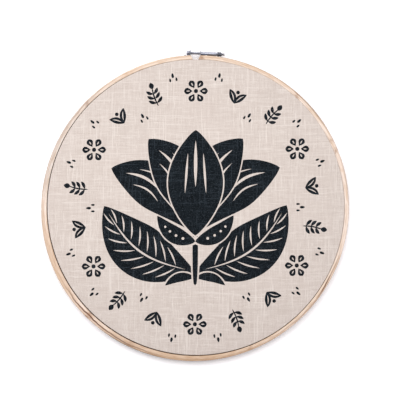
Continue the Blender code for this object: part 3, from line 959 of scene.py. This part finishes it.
def make_cloth():
    """One sheet: the printed face, the bend over the inner ring and the edge down between the rings."""
    design = Print()
    draw_tulip(design)
    draw_wreath(design)
    flat, triangles, rim = lay_out_cloth(design)

    # the way down over the inner ring: radius, height and distance along the cloth
    way_down = []
    middle = CLOTH_RADIUS - CLOTH_BEND
    for step in range(1, 7):
        angle = math.radians(90 - 15 * step)
        way_down.append((
            middle + CLOTH_BEND * math.cos(angle),
            CLOTH_TOP - CLOTH_BEND + CLOTH_BEND * math.sin(angle),
            middle + CLOTH_BEND * math.radians(15 * step),
        ))
    low_bend = way_down[-1]
    for share in (0.33, 0.67, 1.0):
        drop = (low_bend[1] - HEM) * share
        way_down.append((CLOTH_RADIUS, low_bend[1] - drop, low_bend[2] + drop))

    places = [Vector((p.x * MM, p.y * MM, CLOTH_TOP)) for p in flat]
    weave = [(p.x * MM, p.y * MM) for p in flat]
    faces = [list(face) for face in triangles]
    inked = [
        design.inked_at(sum(flat[i].x for i in face) / 3, sum(flat[i].y for i in face) / 3) for face in faces
    ]
    before = rim
    for radius, height, run in way_down:
        ring = []
        for index in range(RING_STEPS):
            angle = 2 * math.pi * index / RING_STEPS
            ring.append(len(places))
            places.append(Vector((radius * math.cos(angle), radius * math.sin(angle), height)))
            weave.append((run * math.cos(angle), run * math.sin(angle)))
        for index in range(RING_STEPS):
            following = (index + 1) % RING_STEPS
            faces.append([before[index], ring[index], ring[following], before[following]])
            inked.append(False)
        before = ring

    stretch = Matrix.Rotation(OVAL_ANGLE, 4, "Z") @ Matrix.Diagonal((1 + OVAL_SHARE, 1 - OVAL_SHARE, 1, 1))
    stretch = Matrix.Translation(HOOP_MIDDLE + CLOTH_SHIFT) @ stretch @ Matrix.Rotation(-OVAL_ANGLE, 4, "Z")
    mesh = bpy.data.meshes.new("linen_sheet")
    mesh.from_pydata([stretch @ place for place in places], [], faces)
    for material in (LINEN, PRINTED, LINEN, PRINTED_BEHIND):
        mesh.materials.append(material)
    mesh.polygons.foreach_set("material_index", [int(mark) for mark in inked])
    layer = mesh.uv_layers.new(name="weave")
    for loop in mesh.loops:
        layer.data[loop.index].uv = weave[loop.vertex_index]
    cloth = bpy.data.objects.new("linen_sheet", mesh)
    bpy.context.scene.collection.objects.link(cloth)
    follow_thickness(cloth, lambda radius: radius > 0.95 * CLOTH_RADIUS)
    work_on(cloth, everything=True)
    bpy.ops.mesh.normals_make_consistent(inside=False)
    rest()
    if sum(face.normal.z for face in mesh.polygons) < 0:
        mesh.flip_normals()
    finish_with(
        cloth,
        "SOLIDIFY",
        thickness=CLOTH_THICK,
        offset=-1,
        use_even_offset=True,
        material_offset=2,
        material_offset_rim=0,
    )
    smooth(cloth, 40)
    finished(cloth, "cloth", "hoop", None)
    return cloth


# The closure


def make_bracket(name, side):
    """A strip of sheet bent once: the ear upright, the foot along the wood."""

    def underside(x):
        return FOOT_HEIGHT - SEAT_DEPTH + 0.1 * MM - math.tan(FOOT_SLOPE) * (x - FOOT_MIDDLE)

    low = underside(EAR_INSIDE)
    high = WOOD_TOP + AXIS_HEIGHT + math.tan(AXIS_TILT) * side * EAR_INSIDE + EAR_ABOVE_AXIS[name]
    rest()
    bpy.ops.mesh.primitive_plane_add(
        size=1,
        location=CLOSURE + Vector((side * EAR_INSIDE, (low + high) / 2, 0)),
        rotation=(0, math.pi / 2, 0),
    )
    bracket = take(name + "_bracket")
    bracket.scale = (BRACKET_WIDTH, high - low, 1)
    settle(bracket)
    foot_line = CLOSURE.y + low
    work_on(bracket, "EDGE")
    pick(bracket, "EDGE", lambda edge: abs(middle_of(edge).y - foot_line) < 0.01 * MM)
    bpy.ops.mesh.extrude_region_move(
        TRANSFORM_OT_translate={
            "value": (side * (FOOT_END - EAR_INSIDE), underside(FOOT_END) - low, 0)
        }
    )
    pick(bracket, "VERT", lambda vert: vert.co.y > CLOSURE.y + high - 0.01 * MM)
    round_corners(EAR_ROUND, 8)
    end_x = CLOSURE.x + side * (FOOT_END - 0.01 * MM)
    pick(bracket, "VERT", lambda vert: vert.co.x * side > end_x * side)
    round_corners(FOOT_ROUND, 4)

    def is_bend(edge):
        spot = middle_of(edge)
        return abs(spot.y - foot_line) < 0.01 * MM and abs(spot.x - CLOSURE.x - side * EAR_INSIDE) < 0.01 * MM

    pick(bracket, "EDGE", is_bend)
    bpy.ops.mesh.bevel(offset=EAR_BEND, segments=6, affect="EDGES")
    bpy.ops.mesh.select_all(action="SELECT")
    bpy.ops.mesh.normals_make_consistent(inside=False)
    rest()
    # the sheet grows outwards from the ear and up from the seat
    ear = max(bracket.data.polygons, key=lambda face: abs(face.normal.x) * face.area)
    grows = 1 if ear.normal.x * side > 0 else -1
    finish_with(bracket, "SOLIDIFY", thickness=SHEET, offset=grows, use_even_offset=True)
    hole = rod("hole", EAR_HOLE, -8 * MM, 8 * MM, 40)
    put_on_axis(hole)
    carve(bracket, hole)
    finish_with(
        bracket, "BEVEL", width=0.09 * MM, segments=2, limit_method="ANGLE", angle_limit=math.radians(50)
    )
    smooth(bracket, 30)
    return finished(bracket, "bracket_" + name, "hoop", DULLED_ZINC)


def cut_thread(screw):
    """Moves the shank's rings of points in and out along a spiral."""
    low, high = SHANK_END + 0.35 * MM, BARREL_START - 0.3 * MM
    for vert in screw.data.vertices:
        x, y, z = vert.co
        radius = math.hypot(x, y)
        if not low < z < high or abs(radius - SHANK_RADIUS) > 0.02 * MM:
            continue
        turn = z / THREAD_RISE - math.atan2(y, x) / (2 * math.pi)
        groove = abs(2 * (turn % 1.0) - 1)
        fade = min(1.0, (z - low) / (0.5 * MM), (high - z) / (0.5 * MM))
        narrower = 1 - THREAD_DEPTH * groove * fade / radius
        vert.co = (x * narrower, y * narrower, z)


def make_thumb_screw():
    """Threaded shank, smooth barrel, knurled grip and slotted tip, turned in one piece."""
    thread_start = SHANK_END + 0.3 * MM
    thread_length = BARREL_START - thread_start
    steps = int(thread_length / (THREAD_RISE / 6))
    # radius and height of each step of the profile
    shank = [(SHANK_RADIUS - 0.3 * MM, SHANK_END)]
    shank += [(SHANK_RADIUS, thread_start + thread_length * i / steps) for i in range(steps + 1)]
    barrel = [
        (1.62 * MM, BARREL_START),
        (1.8 * MM, BARREL_START + 0.18 * MM),
        (1.8 * MM, 12.0 * MM),
        (1.8 * MM, 20.75 * MM),
        (1.6 * MM, 21.0 * MM),
        (1.25 * MM, 21.05 * MM),
        (1.25 * MM, 21.55 * MM),
    ]
    knurl_start, knurl_end = 22.05 * MM, 25.35 * MM
    grip = [
        (1.85 * MM, 21.6 * MM),
        (2.1 * MM, 21.85 * MM),
        (2.1 * MM, knurl_start),
        (2.1 * MM, knurl_end),
        (2.1 * MM, 25.55 * MM),
        (1.85 * MM, 25.8 * MM),
    ]
    screw_end = 29.4 * MM
    tip = [
        (0.9 * MM, 27.2 * MM),
        (0.92 * MM, 27.35 * MM),
        (1.1 * MM, 27.55 * MM),
        (1.1 * MM, 29.1 * MM),
        (0.95 * MM, 29.32 * MM),
        (0.75 * MM, screw_end),
    ]
    screw = turned("thumb_screw_turned", shank + barrel + grip + tip, 64)
    cut_thread(screw)

    # the grip's straight knurling
    def on_the_grip(face):
        return knurl_start < face.calc_center_median().z < knurl_end and abs(face.normal.z) < 0.1

    work_on(screw, "FACE")
    pick(screw, "FACE", on_the_grip)
    bpy.ops.mesh.inset(thickness=0.045 * MM, depth=-0.13 * MM, use_individual=True)
    rest()
    carve(screw, block("slot", (4 * MM, 0.7 * MM, 2.6 * MM), (0, 0, screw_end)))
    # the barrel is bright, the grip and the tip are dull
    screw.data.materials.clear()
    screw.data.materials.append(ZINC)
    screw.data.materials.append(DULLED_ZINC)
    for face in screw.data.polygons:
        face.material_index = int(face.center.z > grip[0][1])
    put_on_axis(screw)
    smooth(screw, 32)
    return finished(screw, "thumb_screw", "screw", None)


def make_nut():
    """A small hexagon nut with rounded corners, its flat towards the wood."""
    corner = NUT_FLAT / math.cos(math.pi / 6)
    nut = rod("small_nut", corner, NUT_START, NUT_END, 6)
    nut.rotation_euler = (0, 0, math.pi / 6)
    settle(nut)
    rounding = rod("rounding", corner * 0.985, NUT_START, NUT_END, 60)
    work_on(rounding, "EDGE")
    pick(
        rounding, "EDGE", lambda edge: abs(edge.verts[0].co.z - edge.verts[1].co.z) < 0.01 * MM
    )
    bpy.ops.mesh.bevel(offset=0.28 * MM, segments=2, affect="EDGES")
    carve(nut, rounding, "INTERSECT")
    carve(nut, rod("bore", NUT_BORE, NUT_START - MM, NUT_END + MM, 40))
    finish_with(nut, "BEVEL", width=0.07 * MM, segments=2, limit_method="ANGLE", angle_limit=math.radians(40))
    put_on_axis(nut)
    smooth(nut, 30)
    return finished(nut, "nut", "hoop", ZINC)


def make_brads():
    """One small domed nail, copied to its four places."""
    head, shank = 1.0 * MM, 0.45 * MM
    profile = [
        (0.05 * MM, -2.8 * MM),
        (shank, -2.3 * MM),
        (shank, -0.05 * MM),
        (head * 0.92, -0.03 * MM),
        (head, 0.05 * MM),
        (head, 0.3 * MM),
        (head * 0.93, 0.5 * MM),
        (head * 0.76, 0.66 * MM),
        (head * 0.5, 0.76 * MM),
        (head * 0.2, 0.8 * MM),
    ]
    first = turned("brad", profile, 24)
    for name, side in SIDES.items():
        for edge_name, edge in (("front", 1), ("back", -1)):
            rest()
            brad = first.copy()
            brad.data = first.data.copy()
            bpy.context.scene.collection.objects.link(brad)
            brad.name = f"nail_{name}_{edge_name}"
            along = Vector((side * (BRAD_OUT - FOOT_MIDDLE), 0, edge * BRAD_ASIDE))
            turn = Matrix.Rotation(-side * FOOT_SLOPE, 4, "Z")
            place = CLOSURE + Vector((side * FOOT_MIDDLE, FOOT_HEIGHT, 0)) + turn.to_3x3() @ along
            brad.data.transform(Matrix.Translation(place) @ turn @ Matrix.Rotation(-math.pi / 2, 4, "X"))
            smooth(brad, 40)
            finished(brad, f"brad_{name}_{edge_name}", "hoop", ZINC)
    bpy.data.objects.remove(first, do_unlink=True)


set_up_studio()
make_outer_ring()
make_inner_ring()
make_cloth()
for bracket_name, bracket_side in SIDES.items():
    make_bracket(bracket_name, bracket_side)
make_thumb_screw()
make_nut()
make_brads()
rest()
